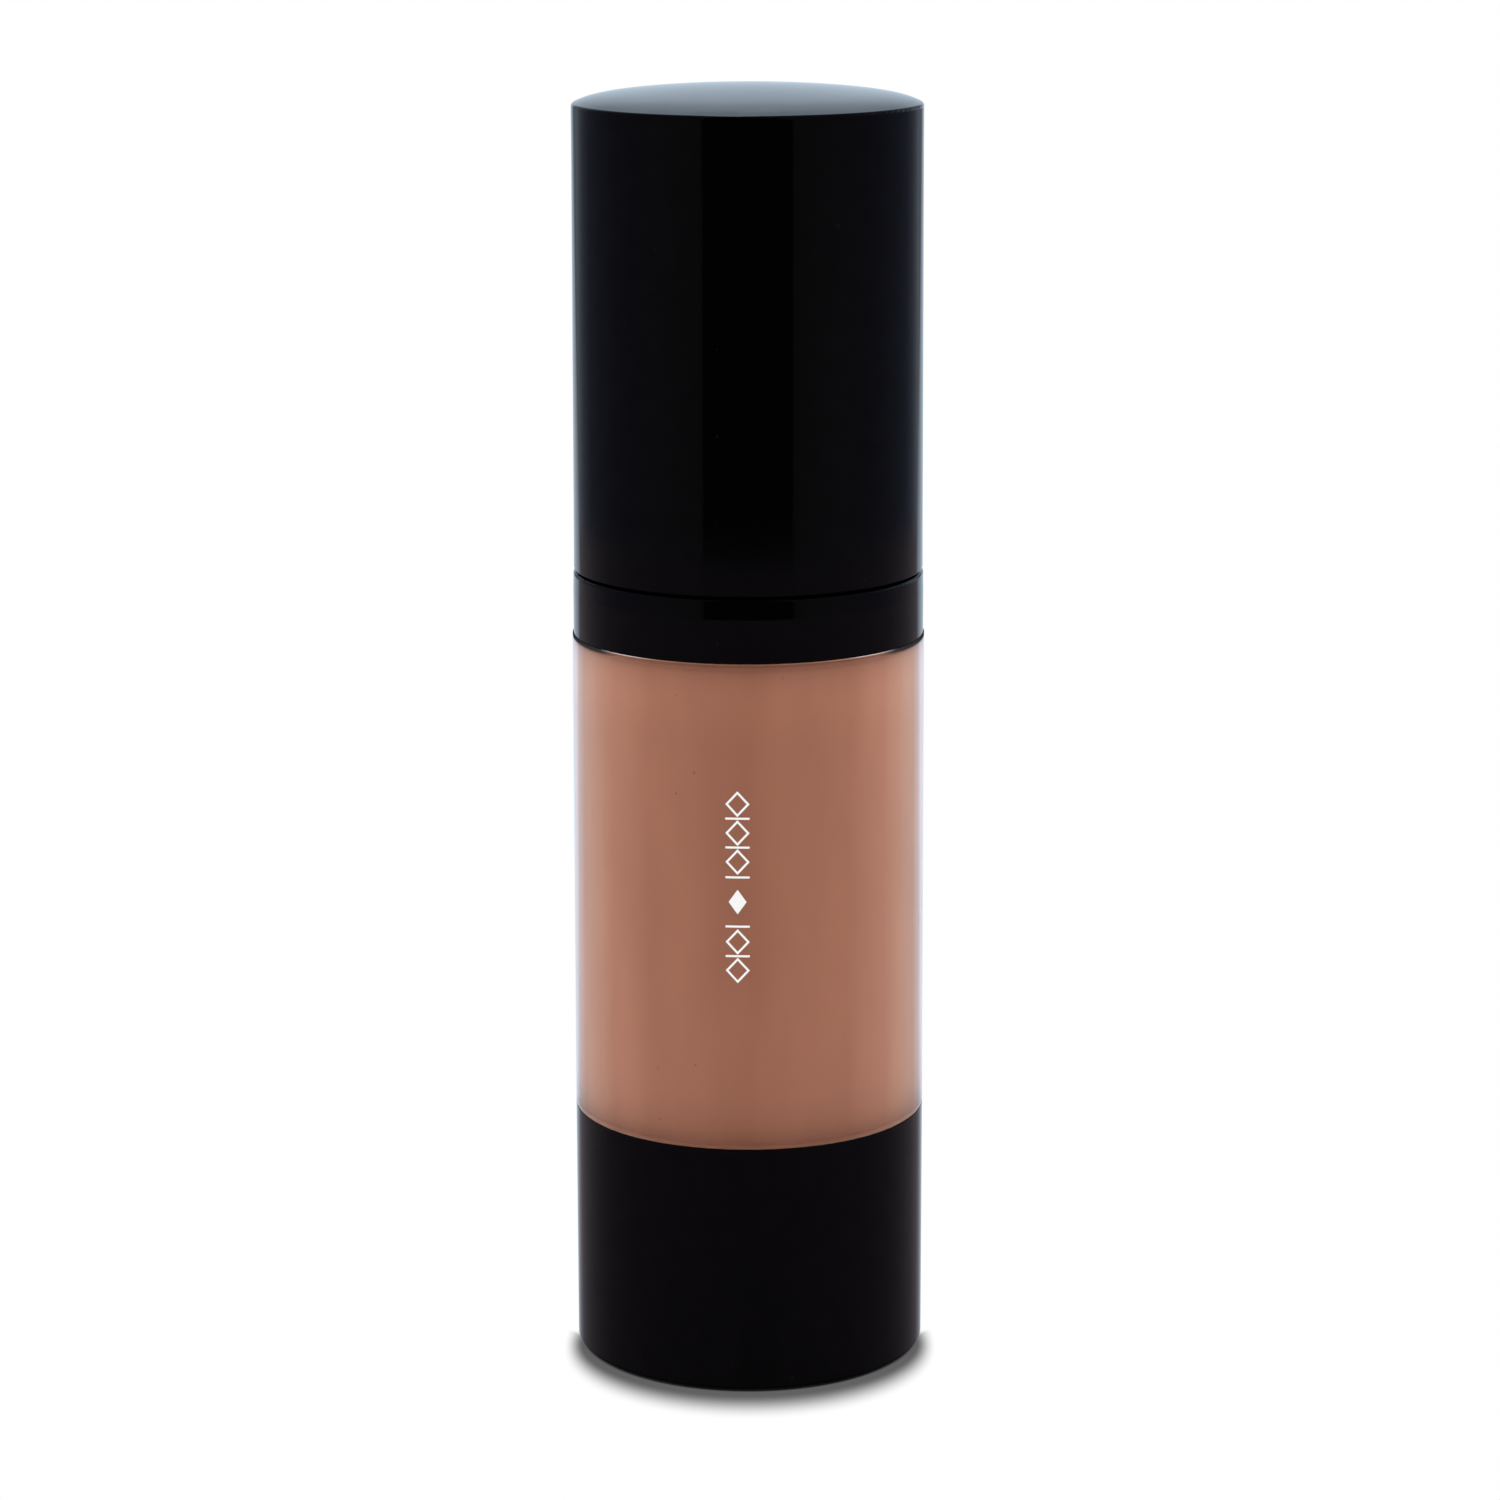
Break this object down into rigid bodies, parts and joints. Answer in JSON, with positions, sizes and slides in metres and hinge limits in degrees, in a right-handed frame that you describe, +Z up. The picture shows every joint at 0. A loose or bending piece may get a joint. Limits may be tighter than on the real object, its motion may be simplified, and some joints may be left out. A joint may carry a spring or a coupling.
{
  "type": "foundation bottle",
  "caption": "Airless pump bottle for liquid foundation: clear cylindrical body, black base cup, collar and pull-off overcap over a press-down pump.",
  "frame": {"origin": "centre of the foot, on the plane that the bottle stands on", "axes": "+Z up along the bottle's axis; the nozzle and the front of the body face -Y"},
  "size_m": [0.0344, 0.0344, 0.1243],
  "materials": {
    "gloss_black": "glossy moulded black",
    "satin_black": "satin moulded black",
    "clear": "clear, polished",
    "foundation": "liquid foundation, tan",
    "natural_white": "natural white polypropylene",
    "soft_white": "soft polyethylene",
    "inner_black": "moulded black, fine matt",
    "steel": "drawn stainless wire",
    "ball_steel": "polished steel",
    "gasket": "foamed washer"
  },
  "bodies": {
    "bottle_body": {"bottle": "clear", "base_cover": "satin_black", "collar": "gloss_black", "closure_ring": "inner_black", "pump_housing": "natural_white", "housing_cap": "natural_white", "neck_gasket": "gasket", "ball_retainer": "natural_white", "return_spring": "steel", "foundation_fill": "foundation"},
    "overcap": {"overcap_shell": "gloss_black", "overcap_liner": "inner_black"},
    "pump_stem": {"stem": "natural_white", "valve_spindle": "natural_white"},
    "actuator": {"actuator_shell": "gloss_black", "actuator_core": "natural_white", "nozzle_insert": "inner_black"},
    "seal": {"piston_seal": "soft_white"},
    "inlet_valve": {"inlet_ball": "ball_steel"},
    "follower": {"follower_piston": "soft_white"}
  },
  "joints": [
    {"name": "overcap_pull", "type": "slide", "parent": "bottle_body", "child": "overcap", "axis": [0, 0, 1], "range_m": [0, 0.04]},
    {"name": "pump_press", "type": "slide", "parent": "bottle_body", "child": "pump_stem", "axis": [0, 0, -1], "range_m": [0, 0.0045], "stiffness_N_per_m": 1200, "springref_m": -0.003, "deforming": ["return_spring"]},
    {"name": "head_swivel", "type": "hinge", "parent": "pump_stem", "child": "actuator", "pos_m": [0, 0, 0.094], "axis": [0, 0, 1], "continuous": true},
    {"name": "seal_slip", "type": "slide", "parent": "pump_stem", "child": "seal", "axis": [0, 0, 1], "range_m": [0, 0.0008]},
    {"name": "inlet_ball_lift", "type": "slide", "parent": "bottle_body", "child": "inlet_valve", "axis": [0, 0, 1], "range_m": [0, 0.0012]},
    {"name": "follower_rise", "type": "slide", "parent": "bottle_body", "child": "follower", "axis": [0, 0, 1], "range_m": [0, 0.048], "deforming": ["foundation_fill"]}
  ]
}
